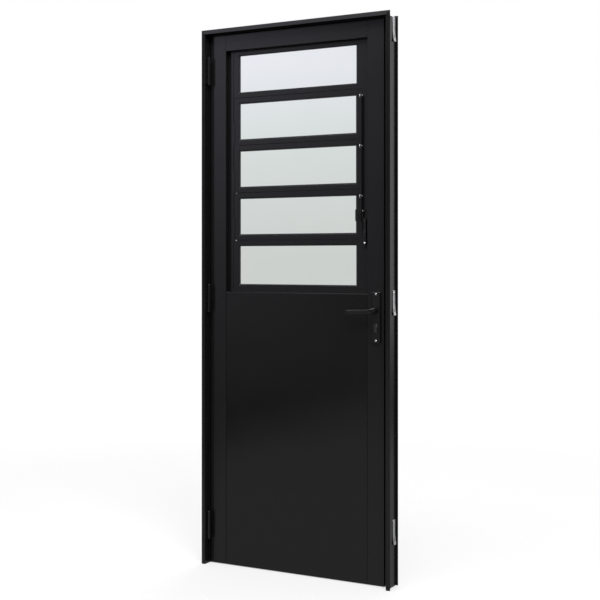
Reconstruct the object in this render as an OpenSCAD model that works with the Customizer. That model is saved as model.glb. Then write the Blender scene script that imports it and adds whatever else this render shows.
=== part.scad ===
// Swing door in its three-sided frame: extruded jambs, a framed leaf with two fixed lights,
// three linked tilting sashes, a sheet panel, butt hinges and a lever lock.
// X runs along the wall from the hinge side to the lock side, Y from the room side to the far side,
// Z up from the floor. The leaf's middle plane is at Y = 0.

/* [Frame] */
// Width across the front lips of the frame
frame_w = 810; // [710:1:1000]
// Height from the floor to the top of the head's lip
frame_h = 2100; // [2000:1:2600]
// Width of the front lip that covers the plaster joint
lip_w = 16; // [15:0.5:16.5]
// Thickness of the front lip at its root and of the back flange
lip_t = 3; // [2:0.5:5]
// Thickness of the front lip at its outer edge
lip_edge_t = 1; // [0.8:0.1:2]
// Depth of the channel that the wall fills
channel_d = 13.5; // [10:0.5:14]
// How far the back flange ends short of the front lip's outer edge
flange_in = 6; // [0:0.5:8]
// Wall thickness of the extruded frame sections
frame_wall = 1.6; // [1.2:0.1:2.2]
// How far the hinge jamb and the head stand in beside the leaf
rebate_in = 17; // [17:0.5:22]
// How far the lock jamb stands in beside the leaf
lock_rebate_in = 32; // [28:0.5:38]
// How far the stop laps behind the leaf at the hinge side and the head
stop_lap = 12; // [8:0.5:16]
// How far the stop laps behind the leaf at the lock side
lock_stop_lap = 5; // [4.5:0.1:5.5]
// Depth of the stop, from the leaf's seal to the back of the frame
stop_d = 6.2; // [5:0.1:40]
// Thickness of the stop gasket
gasket_t = 2.5; // [2:0.1:4]
// Width of the stop gasket
gasket_w = 4; // [3:0.1:4]

/* [Leaf] */
// Thickness of the leaf
leaf_t = 46; // [40:1:56]
// How far the leaf's face sits behind the front lip
leaf_setback = 33; // [30:1:40]
// Gap beside the hinge edge of the leaf
hinge_gap = 4.5; // [4:0.5:8]
// Gap beside the lock edge of the leaf
lock_gap = 5; // [4.5:0.5:7]
// Gap over the leaf
head_gap = 3; // [2:0.5:6]
// Gap under the leaf
floor_gap = 3; // [2:0.5:12]
// Face width of the hinge stile
hinge_stile_w = 72; // [60:1:100]
// Face width of the lock stile
lock_stile_w = 68; // [66:1:90]
// Face height of the top rail
top_rail_h = 64; // [50:1:110]
// Face height of the middle rail under the window
mid_rail_h = 58; // [40:1:90]
// Face height of the bottom rail
bottom_rail_h = 80; // [50:1:140]
// Wall thickness of the stile and rail tubes
tube_wall = 2; // [1.5:0.1:3]
// Thickness of the panel sheets
sheet_t = 2; // [1.5:0.1:2.5]
// Width of the seam between the panel sheets and the hinge stile
seam_w = 1.5; // [1:0.1:3]
// Width of the seam between the panel sheets and the lock stile
lock_seam_w = 0.6; // [0.5:0.1:3]
// Radius on the edges of the stile and rail tubes
tube_edge_r = 1.5; // [0.5:0.1:2]
// Height of the window sill above the floor
sill_z = 1072; // [1020:1:1150]

/* [Hinges] */
// Length of a hinge barrel
hinge_l = 105; // [90:1:140]
// Radius of a hinge barrel
hinge_r = 6; // [5.4:0.1:7.2]
// Radius of the hinge pin
pin_r = 3.5; // [3:0.1:4]
// Thickness of the hinge plates
hinge_plate_t = 2.5; // [2:0.1:3.2]
// Width of the leaf's hinge plate
leaf_plate_w = 33; // [28:1:36]
// Height of the lower hinge's middle above the floor
low_hinge_z = 153; // [120:1:300]
// Drop of the upper hinge's middle below the top of the frame
top_hinge_drop = 160; // [120:1:300]

/* [Lights] */
// How far the window sits back from the face of the leaf
recess_d = 20; // [16:0.5:20.5]
// Depth of the liners that carry the lights
liner_d = 16; // [15.5:0.5:17]
// Thickness of the light frames
sash_t = 13; // [11:0.5:14]
// Distance from one tilting sash to the next
sash_pitch = 186; // [150:1:224]
// Gap round a tilting sash
sash_gap = 1.5; // [1:0.1:2.5]
// Face height of the sash rails
sash_face = 20; // [16:0.5:24]
// Face width of the sash stiles
sash_stile_w = 24; // [18:0.5:28]
// Height of the top fixed light with its liner
top_light_h = 184.5; // [160:1:220]
// Face width of the hinge side's liner
liner_w = 22.5; // [14:0.5:26]
// Face width of the lock side's liner, which carries the vent lever
lock_liner_w = 28.8; // [26:0.1:34]
// Face height of the top liner
top_liner_h = 4; // [3:0.5:10]
// Face height of the sill liner
sill_liner_h = 8.5; // [6:0.5:16]
// Thickness of the panes
glass_t = 4; // [3:0.5:5]
// How far the pane reaches into its rebate
glass_bite = 6; // [4:0.5:8]
// Width of the bevel round the panes
sight_bevel_w = 2; // [0.5:0.1:2.5]
// How far the weather flaps and drips lap a sash
flap_lap = 4; // [2:0.5:6]

/* [Vent linkage] */
// Height of a rod joint above its sash pivot
crank_rise = 66; // [50:1:74]
// Distance of a rod joint in front of its sash pivot
crank_front = 15; // [14:0.5:18]
// Width of the vent rod
rod_w = 12; // [8:0.5:12]
// Thickness of the vent rod, the ears and the lever
link_t = 3; // [2:0.1:4]
// Radius of the sash pivot pins
pivot_r = 3; // [2.5:0.1:3.5]
// Length of the vent lever's grip tab
grip_l = 44; // [30:1:60]
// Width of the vent lever's grip tab
grip_w = 13; // [10:0.5:16]

/* [Lock] */
// Height of the handle spindle above the floor
spindle_z = 1013; // [950:1:1020]
// Clearance between the outside handle plate and the frame's stop
plate_clear = 8; // [2:0.5:10]
// Drop from the spindle to the key cylinder
cylinder_drop = 58; // [56:0.5:72]
// Width of the handle plates
plate_w = 34; // [28:0.5:42]
// Thickness of the handle plates
plate_t = 8; // [6:0.5:10]
// Rise of the plates' top edge above the spindle
plate_rise = 66; // [56:1:70]
// Drop of the plates' bottom edge below the spindle
plate_drop = 121; // [110:1:130]
// Length of the levers from the spindle
lever_l = 117; // [100:1:130]
// Distance from the leaf's face to the middle of a lever
lever_reach = 32; // [30:0.5:40]
// Thickness of a lever
lever_t = 12; // [9:0.5:14]
// Radius of the lever's neck
neck_r = 10; // [8.5:0.1:11]
// Projection of the latch bolt at rest
latch_out = 2; // [1:0.1:2]

/* [Hidden] */

// Round surfaces, cuts and clearances
$fn = 48;
overrun = 1;
fit_clear = 0.06;
slack = 0.3;

// Finishes
coat_black = "#26272a";
seal_black = "#141415";
zinc = "#c9ccd0";
satin_steel = "#a9adb1";
pane_tint = "#e3e8ea";
dark_nickel = "#3a3a3c";

// Planes of the leaf and the frame
leaf_x0 = -frame_w / 2 + rebate_in + hinge_gap;
leaf_x1 = frame_w / 2 - lock_rebate_in - lock_gap;
leaf_z0 = floor_gap;
leaf_z1 = frame_h - rebate_in - head_gap;
leaf_y0 = -leaf_t / 2;
leaf_y1 = leaf_t / 2;
frame_y0 = leaf_y0 - leaf_setback;
stop_y = leaf_y1 + gasket_t + slack;
frame_y1 = stop_y + stop_d;
hinge_stop_in = rebate_in + hinge_gap + stop_lap;
lock_stop_in = lock_rebate_in + lock_gap + lock_stop_lap;
head_stop_in = rebate_in + head_gap + stop_lap;

// Window opening, lights and liners
win_x0 = leaf_x0 + hinge_stile_w;
win_x1 = leaf_x1 - lock_stile_w;
win_z0 = sill_z;
win_z1 = leaf_z1 - top_rail_h;
liner_y0 = leaf_y0 + recess_d;
liner_y1 = liner_y0 + liner_d;
sash_y0 = (liner_y0 + liner_y1 - sash_t) / 2;
sash_y1 = sash_y0 + sash_t;
pivot_y = (sash_y0 + sash_y1) / 2;
lip_cover = 3;
glass_y0 = sash_y0 + lip_cover;
glass_y1 = glass_y0 + glass_t;
light_x0 = win_x0 + liner_w;
light_x1 = win_x1 - lock_liner_w;
sash_x0 = light_x0 + sash_gap;
sash_x1 = light_x1 - sash_gap;
vent_top_z = win_z1 - top_light_h;
vent_count = 3;
vent_bottom_z = vent_top_z - vent_count * sash_pitch;
sash_h = sash_pitch - sash_gap;
function sash_mid_z(i) = vent_top_z - sash_pitch * (i + 1 / 2);

// Rod, lever and bracket places beside the sashes
ear_x0 = sash_x1 - link_t;
rod_x0 = sash_x1 + slack;
lever_x0 = rod_x0 + link_t + slack;
bracket_x0 = lever_x0 + link_t + slack;
joint_y = pivot_y - crank_front;
lever_drop_share = 0.3;
vent_lever_z = sash_mid_z(vent_count - 1) - sash_h * lever_drop_share;
lever_joint_z = vent_lever_z + crank_rise;
joint_r = 2.5;
lever_eye_r = 4;
link_end_r = rod_w / 2;
grip_y0 = joint_y - rod_w - link_t;

// Hinge axis and places
knuckle_clear = 0.5;
hinge_stand = 11;
reveal_x = -frame_w / 2 + lip_w;
hinge_x = reveal_x + hinge_plate_t + knuckle_clear + hinge_r;
hinge_y = leaf_y0 - hinge_r - hinge_stand;
hinge_zs = [frame_h - top_hinge_drop, (frame_h - top_hinge_drop + low_hinge_z) / 2, low_hinge_z];
end_knuckle_share = 0.25;
knuckle_gap = 0.4;
screw_spread_share = 0.32;
screw_r = 2.2;
screw_head_r = 4;
screw_head_h = 1.8;
screw_l = 12;
frame_screw_l = 7;

// Lock places
backset = lock_stop_lap + plate_clear + plate_w / 2;
spindle_x = leaf_x1 - backset;
cylinder_z = spindle_z - cylinder_drop;
forend_t = tube_wall;
forend_w = 22;
forend_end = 24;
flange_end = 6;
case_t = 18;
case_wall = 1.5;
case_below = 62;
case_above = 52;
case_z0 = cylinder_z - case_below;
case_z1 = spindle_z + case_above;
forend_z0 = case_z0 - forend_end;
forend_z1 = case_z1 + forend_end;
case_x0 = win_x1 + tube_wall + slack;
case_x1 = leaf_x1 - forend_t;
latch_rise = 26;
latch_z = spindle_z + latch_rise;
latch_h = 16;
latch_t = 12;
latch_l = 20;
bolt_h = 20;
bolt_t = 11;
bolt_l = 30;
bolt_rise = 24;
bolt_z = cylinder_z + bolt_rise;
spindle_w = 8;
hub_r = 11;
cylinder_r = 8.5;
cylinder_tab_w = 10;
cylinder_tab_h = 24;
plug_r = 6;
plate_screw_inset = 8;
plate_screw_r = 2;
plate_screw_head_r = 4;

// General shapes

// A box between two corners
module box(a, b) {
    translate(a) cube(b - a);
}

// A flat shape in X and Z, given thickness along Y from y0 to y1
module plate_y(y0, y1) {
    translate([0, y1, 0]) rotate([90, 0, 0]) linear_extrude(y1 - y0) children();
}

// A flat shape in Y and Z, given thickness along X from x0 to x1
module plate_x(x0, x1) {
    translate([x0, 0, 0]) rotate([90, 0, 90]) linear_extrude(x1 - x0) children();
}

// A round bar along X from x0 to x1
module bar_x(x0, x1, y, z, r) {
    translate([x0, y, z]) rotate([0, 90, 0]) cylinder(r = r, h = x1 - x0);
}

// A round bar along Y from y0 to y1
module bar_y(y0, y1, x, z, r) {
    translate([x, y0, z]) rotate([-90, 0, 0]) cylinder(r = r, h = y1 - y0);
}

// A rounded rectangle between two corners
module rounded(a, b, r) {
    translate([a[0] + r, a[1]]) square([b[0] - a[0] - 2 * r, b[1] - a[1]]);
    translate([a[0], a[1] + r]) square([b[0] - a[0], b[1] - a[1] - 2 * r]);
    for (x = [a[0] + r, b[0] - r], y = [a[1] + r, b[1] - r]) translate([x, y]) circle(r);
}

// A countersunk screw along +X with its head's face at the origin
module screw_x(l, grow) {
    rotate([0, 90, 0]) cylinder(r1 = screw_head_r + grow, r2 = screw_r + grow, h = screw_head_h);
    rotate([0, 90, 0]) cylinder(r = screw_r + grow, h = l);
}

// Frame

// Section of a frame member: x runs in from the outer edge, y from the front lip to the back flange.
// The stop is hollow, and so is the rebate where it is wide enough.
module frame_section(side, stop) {
    x0 = channel_d + frame_wall;
    difference() {
        polygon([
            [0, frame_y0 + lip_t - lip_edge_t], [lip_w, frame_y0], [lip_w, leaf_y0], [side, leaf_y0],
            [side, stop_y], [stop, stop_y], [stop, frame_y1], [flange_in, frame_y1],
            [flange_in, frame_y1 - lip_t], [channel_d, frame_y1 - lip_t],
            [channel_d, frame_y0 + lip_t], [0, frame_y0 + lip_t]
        ]);
        translate([x0, stop_y + frame_wall]) square([stop - frame_wall - x0, stop_d - 2 * frame_wall]);
        if (side - frame_wall > x0 + frame_wall) translate([x0, leaf_y0 + frame_wall])
            square([side - frame_wall - x0, frame_y1 - leaf_y0 - 2 * frame_wall]);
    }
}

// What the head takes off the top of a jamb: a mitre as far in as the head reaches, then a square butt
module jamb_top_cut(reach, far, y0, y1) {
    plate_y(y0, y1) polygon([
        [-overrun, frame_h + overrun], [reach, frame_h - reach],
        [far, frame_h - reach], [far, frame_h + overrun]
    ]);
}

module jamb(side, stop) {
    difference() {
        linear_extrude(frame_h) frame_section(side, stop);
        jamb_top_cut(rebate_in, stop + overrun, frame_y0 - overrun, stop_y);
        jamb_top_cut(head_stop_in, stop + overrun, stop_y, frame_y1 + overrun);
    }
}

module hinge_jamb() {
    color(coat_black) difference() {
        translate([-frame_w / 2, 0, 0]) jamb(rebate_in, hinge_stop_in);
        for (z = hinge_zs) frame_hinge_screws(z, fit_clear);
        anchor_rivet_bars(-overrun, frame_wall + overrun, rivet_r + fit_clear);
    }
}

module lock_jamb() {
    color(coat_black) difference() {
        mirror([1, 0, 0]) translate([-frame_w / 2, 0, 0]) jamb(lock_rebate_in, lock_stop_in);
        strike_cuts(strike_x - overrun);
        strike_screws(fit_clear);
        anchor_rivet_bars(-overrun, frame_wall + overrun, rivet_r + fit_clear);
    }
}

module head() {
    reach = head_stop_in + overrun;
    color(coat_black) difference() {
        translate([-frame_w / 2, 0, frame_h]) rotate([0, 90, 0]) linear_extrude(frame_w)
            frame_section(rebate_in, head_stop_in);
        for (side = [0, 1]) mirror([side, 0, 0]) translate([-frame_w / 2, 0, 0])
            plate_y(frame_y0 - overrun, frame_y1 + overrun) polygon([
                [-overrun, frame_h + overrun], [reach, frame_h - reach], [-overrun, frame_h - reach]
            ]);
    }
}

// One strip of soft rubber along both jambs and the head, on the face of the stop
module stop_gasket() {
    edge = (lock_stop_lap - gasket_w) / 2;
    x0 = -frame_w / 2 + hinge_stop_in - edge;
    x1 = frame_w / 2 - lock_stop_in + edge;
    z1 = frame_h - head_stop_in + edge;
    color(seal_black) plate_y(stop_y - gasket_t, stop_y) polygon([
        [x0 - gasket_w, 0], [x0, 0], [x0, z1], [x1, z1], [x1, 0], [x1 + gasket_w, 0],
        [x1 + gasket_w, z1 + gasket_w], [x0 - gasket_w, z1 + gasket_w]
    ]);
}

// Galvanised straps riveted in the wall channel, their lower ends sprung out to bond in the wall
anchor_w = 28;
anchor_l = 92;
anchor_t = 1.5;
anchor_flat_share = 0.62;
anchor_spring = 4;
anchor_y_share = 0.75;
anchor_y = frame_y0 + (frame_y1 - frame_y0) * anchor_y_share;
anchor_top_drop = 57;
anchor_z_shares = [0.495, 0.095];
anchor_zs = [frame_h - anchor_top_drop, frame_h * anchor_z_shares[0], frame_h * anchor_z_shares[1]];
anchor_rivet_shares = [0.38, 0.08];
rivet_r = 2.4;
rivet_head_r = 4;
rivet_head_h = 1.5;

module anchor_rivet_bars(x0, x1, r) {
    for (side = [0, 1], z = anchor_zs, share = anchor_rivet_shares) mirror([side, 0, 0])
        translate([-frame_w / 2 + channel_d, 0, z + anchor_l * share]) bar_x(x0, x1, anchor_y, 0, r);
}

module wall_anchors() {
    fold = anchor_l * (1 / 2 - anchor_flat_share);
    color(zinc) difference() {
        for (side = [0, 1], z = anchor_zs) mirror([side, 0, 0]) translate([-frame_w / 2 + channel_d, 0, z])
            plate_y(anchor_y - anchor_w / 2, anchor_y + anchor_w / 2) polygon([
                [0, anchor_l / 2], [0, fold], [-anchor_spring, -anchor_l / 2],
                [-anchor_spring - anchor_t, -anchor_l / 2], [-anchor_t, fold], [-anchor_t, anchor_l / 2]
            ]);
        anchor_rivet_bars(-anchor_t - overrun, overrun, rivet_r + fit_clear);
    }
}

module anchor_rivets() {
    color(zinc) {
        anchor_rivet_bars(-anchor_t, frame_wall, rivet_r);
        anchor_rivet_bars(-anchor_t - rivet_head_h, -anchor_t, rivet_head_r);
    }
}

// Strike plate on the lock jamb, slotted for the latch and the dead bolt
strike_t = 1.5;
strike_w = 24;
strike_x = frame_w / 2 - lock_rebate_in;
strike_end = 26;
strike_play = 1.5;

module strike_cuts(x0) {
    x1 = frame_w / 2 - channel_d - frame_wall;
    for (p = [[latch_z, latch_h, latch_t], [bolt_z, bolt_h, bolt_t]])
        box([x0, -p[2] / 2 - strike_play, p[0] - p[1] / 2 - strike_play],
            [x1, p[2] / 2 + strike_play, p[0] + p[1] / 2 + strike_play]);
}

module strike_screws(grow) {
    for (z = [bolt_z - bolt_h / 2 - strike_end / 2, latch_z + latch_h / 2 + strike_end / 2])
        translate([strike_x - strike_t, 0, z]) screw_x(frame_screw_l, grow);
}

module strike_plate() {
    color(satin_steel) difference() {
        plate_x(strike_x - strike_t, strike_x)
            rounded([-strike_w / 2, bolt_z - bolt_h / 2 - strike_end],
                [strike_w / 2, latch_z + latch_h / 2 + strike_end], strike_play);
        strike_cuts(strike_x - strike_t - overrun);
        strike_screws(fit_clear);
    }
}

// Screws of the frame's hinge plates and of the strike plate
module frame_hinge_screws(z, grow) {
    for (s = [-1, 1])
        translate([reveal_x + hinge_plate_t, hinge_plate_mid_y, z + s * hinge_l * screw_spread_share])
        mirror([1, 0, 0]) screw_x(hinge_plate_t + lip_w - channel_d - slack, grow);
}

module frame_screws() {
    color(satin_steel) {
        for (z = hinge_zs) frame_hinge_screws(z, 0);
        strike_screws(0);
    }
}

// Hinges

hinge_plate_y0 = frame_y0 + lip_t;
hinge_plate_mid_y = (hinge_plate_y0 + hinge_y) / 2;

module knuckle(z0, z1) {
    translate([hinge_x, hinge_y, z0]) cylinder(r = hinge_r, h = z1 - z0);
}

module pin_bore(z) {
    translate([hinge_x, hinge_y, z - hinge_l / 2 - overrun])
        cylinder(r = pin_r + fit_clear, h = hinge_l + 2 * overrun);
}

// Plate on the frame's reveal, cranked across to the two end knuckles
module frame_hinge(z) {
    end_l = hinge_l * end_knuckle_share;
    color(coat_black) difference() {
        union() {
            box([reveal_x, hinge_plate_y0, z - hinge_l / 2],
                [reveal_x + hinge_plate_t, hinge_y - knuckle_gap, z + hinge_l / 2]);
            for (z0 = [z - hinge_l / 2, z + hinge_l / 2 - end_l]) {
                box([reveal_x, hinge_y - hinge_plate_t / 2, z0],
                    [hinge_x, hinge_y + hinge_plate_t / 2, z0 + end_l]);
                knuckle(z0, z0 + end_l);
            }
        }
        pin_bore(z);
        frame_hinge_screws(z, fit_clear);
    }
}

// Plate on the edge of the leaf, reaching forward to the middle knuckle
module leaf_hinge(z) {
    mid_l = hinge_l * (1 - 2 * end_knuckle_share) - 2 * knuckle_gap;
    color(coat_black) difference() {
        union() {
            box([leaf_x0 - hinge_plate_t, leaf_y0 + knuckle_gap, z - hinge_l / 2],
                [leaf_x0, leaf_y0 + leaf_plate_w, z + hinge_l / 2]);
            box([leaf_x0 - hinge_plate_t, hinge_y, z - mid_l / 2],
                [leaf_x0, leaf_y0 + leaf_plate_w, z + mid_l / 2]);
            knuckle(z - mid_l / 2, z + mid_l / 2);
        }
        pin_bore(z);
        leaf_hinge_screws(z, fit_clear);
    }
}

module leaf_hinge_screws(z, grow) {
    for (s = [-1, 1])
        translate([leaf_x0 - hinge_plate_t, leaf_y0 + leaf_plate_w / 2, z + s * hinge_l * screw_spread_share])
        screw_x(screw_l, grow);
}

module upper_frame_hinge() { frame_hinge(hinge_zs[0]); }
module middle_frame_hinge() { frame_hinge(hinge_zs[1]); }
module lower_frame_hinge() { frame_hinge(hinge_zs[2]); }
module upper_leaf_hinge() { leaf_hinge(hinge_zs[0]); }
module middle_leaf_hinge() { leaf_hinge(hinge_zs[1]); }
module lower_leaf_hinge() { leaf_hinge(hinge_zs[2]); }

pin_cap_h = 2;

module hinge_pins() {
    color(coat_black) for (z = hinge_zs) {
        translate([hinge_x, hinge_y, z - hinge_l / 2]) cylinder(r = pin_r, h = hinge_l);
        for (z0 = [z - hinge_l / 2 - pin_cap_h, z + hinge_l / 2])
            translate([hinge_x, hinge_y, z0]) cylinder(r = hinge_r, h = pin_cap_h);
    }
}

// Leaf

module tube_z(x0, x1) {
    difference() {
        translate([0, 0, leaf_z0]) linear_extrude(leaf_z1 - leaf_z0)
            rounded([x0, leaf_y0], [x1, leaf_y1], tube_edge_r);
        box([x0 + tube_wall, leaf_y0 + tube_wall, leaf_z0 - overrun],
            [x1 - tube_wall, leaf_y1 - tube_wall, leaf_z1 + overrun]);
    }
}

module tube_x(y0, y1, z0, z1) {
    difference() {
        plate_x(win_x0, win_x1) rounded([y0, z0], [y1, z1], tube_edge_r);
        box([win_x0 - overrun, y0 + tube_wall, z0 + tube_wall],
            [win_x1 + overrun, y1 - tube_wall, z1 - tube_wall]);
    }
}

module hinge_stile() {
    color(coat_black) difference() {
        tube_z(leaf_x0, win_x0);
        for (z = hinge_zs) leaf_hinge_screws(z, fit_clear);
    }
}

module lock_stile() {
    color(coat_black) difference() {
        tube_z(win_x1, leaf_x1);
        box([case_x1 - overrun, -forend_w / 2, forend_z0], [leaf_x1 + overrun, forend_w / 2, forend_z1]);
        bar_y(leaf_y0 - overrun, leaf_y1 + overrun, spindle_x, spindle_z, neck_r + slack);
        cylinder_shape(leaf_y0 - overrun, leaf_y1 + overrun, slack);
        plate_screw_bars(leaf_y0 - overrun, leaf_y1 + overrun, plate_screw_r + slack);
    }
}

module top_rail() {
    color(coat_black) tube_x(leaf_y0, leaf_y1, win_z1, leaf_z1);
}

module mid_rail() {
    color(coat_black)
        tube_x(leaf_y0 + sheet_t, leaf_y1 - sheet_t, win_z0 - sheet_t - mid_rail_h, win_z0 - sheet_t);
}

module bottom_rail() {
    color(coat_black) tube_x(leaf_y0 + sheet_t, leaf_y1 - sheet_t, leaf_z0, leaf_z0 + bottom_rail_h);
}

// Sheet with its face at y0 and its inside at y1, folded in at its top edge to make the window sill
module folded_sheet(y0, y1, sill_y) {
    plate_x(win_x0 + seam_w, win_x1 - lock_seam_w) polygon([
        [y0, leaf_z0], [y1, leaf_z0], [y1, win_z0 - sheet_t], [sill_y, win_z0 - sheet_t],
        [sill_y, win_z0], [y1, win_z0], [y0, win_z0 - sheet_t]
    ]);
}

module front_panel() {
    color(coat_black) folded_sheet(leaf_y0, leaf_y0 + sheet_t, liner_y0);
}

module back_panel() {
    color(coat_black) folded_sheet(leaf_y1, leaf_y1 - sheet_t, liner_y1);
}

// Screws of the leaf's hinge plates and of the lock forend
module forend_screws(grow) {
    for (z = [forend_z0 + plate_screw_inset, forend_z1 - plate_screw_inset])
        translate([leaf_x1, 0, z]) mirror([1, 0, 0]) screw_x(screw_l, grow);
}

module leaf_screws() {
    color(satin_steel) {
        for (z = hinge_zs) leaf_hinge_screws(z, 0);
        forend_screws(0);
    }
}

// Lights

// The four liners of the window, with bearing holes for the sash pivots.
// The weather flaps lap a sash behind its upper half, which tilts in,
// and before its lower half, which tilts out.
bearing_d = 10;
flap_t = (liner_d - sash_t) / 2 - slack;
flap_stop = 5;
flap_end_gap = 1;

module side_liner(x0, x1) {
    difference() {
        box([x0, liner_y0, win_z0 - sheet_t], [x1, liner_y1, win_z1]);
        for (i = [0 : vent_count - 1]) pivot_bars(i, bearing_d + overrun, fit_clear);
    }
}

// A flap from x0 to x1 and y0 to y1 beside the upper half of a sash, or the lower half
module flap_above(i, x0, x1, y0, y1) {
    box([x0, y0, sash_mid_z(i) + flap_stop], [x1, y1, sash_mid_z(i) + sash_h / 2 + sash_gap - slack]);
}

module flap_below(i, x0, x1, y0, y1) {
    box([x0, y0, sash_mid_z(i) - sash_h / 2 - sash_gap + slack], [x1, y1, sash_mid_z(i) - flap_stop]);
}

module left_liner() {
    color(coat_black) {
        side_liner(win_x0, light_x0);
        for (i = [0 : vent_count - 1]) {
            flap_above(i, light_x0 - overrun, sash_x0 + flap_lap, liner_y1 - flap_t, liner_y1);
            flap_below(i, light_x0 - overrun, sash_x0 + flap_lap, liner_y0, liner_y0 + flap_t);
        }
    }
}

// The lock side's liner has a pocket for the vent lever, shallower towards the lever's joint
pocket_rise = 8;
pocket_end_d = 2;

module lever_pocket() {
    y0 = liner_y0 - overrun;
    y1 = pivot_y + lever_eye_r + overrun;
    plate_x(light_x1 - overrun, bracket_x0 + bracket_t + slack) polygon([
        [y0, vent_lever_z - pocket_rise], [y1, vent_lever_z - pocket_rise],
        [y1, vent_lever_z + pocket_rise], [liner_y0 + pocket_end_d, lever_joint_z], [y0, lever_joint_z]
    ]);
}

module right_liner() {
    color(coat_black) {
        difference() {
            side_liner(light_x1, win_x1);
            lever_pocket();
            bracket_rivet_bars(liner_y0 - overrun, liner_y0 + bracket_rivet_bite + overrun,
                rivet_r + fit_clear);
        }
        for (i = [0 : vent_count - 1])
            flap_above(i, sash_x1 - flap_lap, light_x1 + overrun, liner_y1 - flap_t, liner_y1);
    }
}

module top_liner() {
    color(coat_black) box([light_x0, liner_y0, win_z1 - top_liner_h], [light_x1, liner_y1, win_z1]);
}

module sill_liner() {
    color(coat_black) box([light_x0, liner_y0, win_z0 - sheet_t],
        [light_x1, liner_y1, win_z0 + sill_liner_h]);
}

// A light's frame: a front lip that covers the pane's edge, with the rebate open to the back.
// see is [x0, x1, z0, z1] of the glass that shows; out is the same for the frame's outside.
module light_frame(out, see) {
    difference() {
        box([out[0], sash_y0, out[2]], [out[1], sash_y1, out[3]]);
        box([see[0], sash_y0 - overrun, see[2]], [see[1], sash_y1 + overrun, see[3]]);
        box([see[0] - glass_bite - overrun, glass_y0, see[2] - glass_bite - overrun],
            [see[1] + glass_bite + overrun, sash_y1 + overrun, see[3] + glass_bite + overrun]);
        sight_bevel(see);
    }
}

// The bevelled edge round a pane, cut from the front
module sight_bevel(see) {
    g = sight_bevel_w + overrun;
    y0 = sash_y0 - overrun;
    y1 = sash_y0 + sight_bevel_w;
    intersection() {
        plate_x(see[0] - g, see[1] + g)
            polygon([[y0, see[2] - g], [y1, see[2]], [y1, see[3]], [y0, see[3] + g]]);
        translate([0, 0, see[2] - g]) linear_extrude(see[3] - see[2] + 2 * g)
            polygon([[see[0] - g, y0], [see[0], y1], [see[1], y1], [see[1] + g, y0]]);
    }
}

// Drip at the back of a bottom rail, which laps the rail below it
drip_rise = 8;

module drip(z) {
    x0 = sash_x0 + flap_lap + flap_end_gap;
    x1 = sash_x1 - flap_lap - flap_end_gap;
    box([x0, sash_y1, z], [x1, liner_y1, z + drip_rise]);
    box([x0, sash_y1 + slack, z - sash_gap - flap_lap], [x1, liner_y1, z + drip_rise]);
}

module pane(see) {
    color(pane_tint) box([see[0] - glass_bite, glass_y0, see[2] - glass_bite],
        [see[1] + glass_bite, glass_y1, see[3] + glass_bite]);
}

// Ring that holds the pane from behind, clipped into the rebate
module bead(see) {
    edge = glass_bite + overrun - fit_clear;
    color(coat_black) difference() {
        box([see[0] - edge, glass_y1, see[2] - edge], [see[1] + edge, sash_y1, see[3] + edge]);
        box([see[0], glass_y1 - overrun, see[2]], [see[1], sash_y1 + overrun, see[3]]);
    }
}

top_out = [light_x0, light_x1, vent_top_z + sash_gap / 2, win_z1 - top_liner_h];
top_rail_share = 0.75;
top_see = [sash_x0 + sash_stile_w, sash_x1 - sash_stile_w,
    top_out[2] + sash_face, top_out[3] - sash_face * top_rail_share];
bottom_out = [light_x0, light_x1, win_z0 + sill_liner_h, vent_bottom_z - sash_gap / 2];
bottom_see = [sash_x0 + sash_stile_w, sash_x1 - sash_stile_w,
    bottom_out[2] + sash_face, bottom_out[3] - sash_face];

module top_light_frame() {
    color(coat_black) {
        light_frame(top_out, top_see);
        drip(top_out[2]);
    }
}

module top_light_glass() { pane(top_see); }
module top_light_bead() { bead(top_see); }
module bottom_light_frame() { color(coat_black) light_frame(bottom_out, bottom_see); }
module bottom_light_glass() { pane(bottom_see); }
module bottom_light_bead() { bead(bottom_see); }

function sash_out(i) = [sash_x0, sash_x1, sash_mid_z(i) - sash_h / 2, sash_mid_z(i) + sash_h / 2];
function sash_see(i) = [sash_x0 + sash_stile_w, sash_x1 - sash_stile_w,
    sash_out(i)[2] + sash_face, sash_out(i)[3] - sash_face];

// Pivot pins from both edges of a sash into the liners
module pivot_bars(i, d, grow) {
    bar_x(light_x0 - d, sash_x0, pivot_y, sash_mid_z(i), pivot_r + grow);
    bar_x(sash_x1, light_x1 + d, pivot_y, sash_mid_z(i), pivot_r + grow);
}

// Tilting sash with its pivots and the ear that the rod is riveted to
module sash(i) {
    z = sash_mid_z(i) + crank_rise;
    color(coat_black) difference() {
        union() {
            light_frame(sash_out(i), sash_see(i));
            drip(sash_out(i)[2]);
            pivot_bars(i, bearing_d, 0);
            plate_x(ear_x0, ear_x0 + link_t) {
                translate([joint_y, z - link_end_r]) square([crank_front, 2 * link_end_r]);
                translate([joint_y, z]) circle(link_end_r);
            }
        }
        bar_x(ear_x0 - overrun, ear_x0 + link_t + overrun, joint_y, z, joint_r + fit_clear);
    }
}

module upper_sash() { sash(0); }
module upper_sash_glass() { pane(sash_see(0)); }
module upper_sash_bead() { bead(sash_see(0)); }
module middle_sash() { sash(1); }
module middle_sash_glass() { pane(sash_see(1)); }
module middle_sash_bead() { bead(sash_see(1)); }
module lower_sash() { sash(2); }
module lower_sash_glass() { pane(sash_see(2)); }
module lower_sash_bead() { bead(sash_see(2)); }

// Vent linkage

joint_zs = concat([for (i = [0 : vent_count - 1]) sash_mid_z(i) + crank_rise], [lever_joint_z]);

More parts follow.
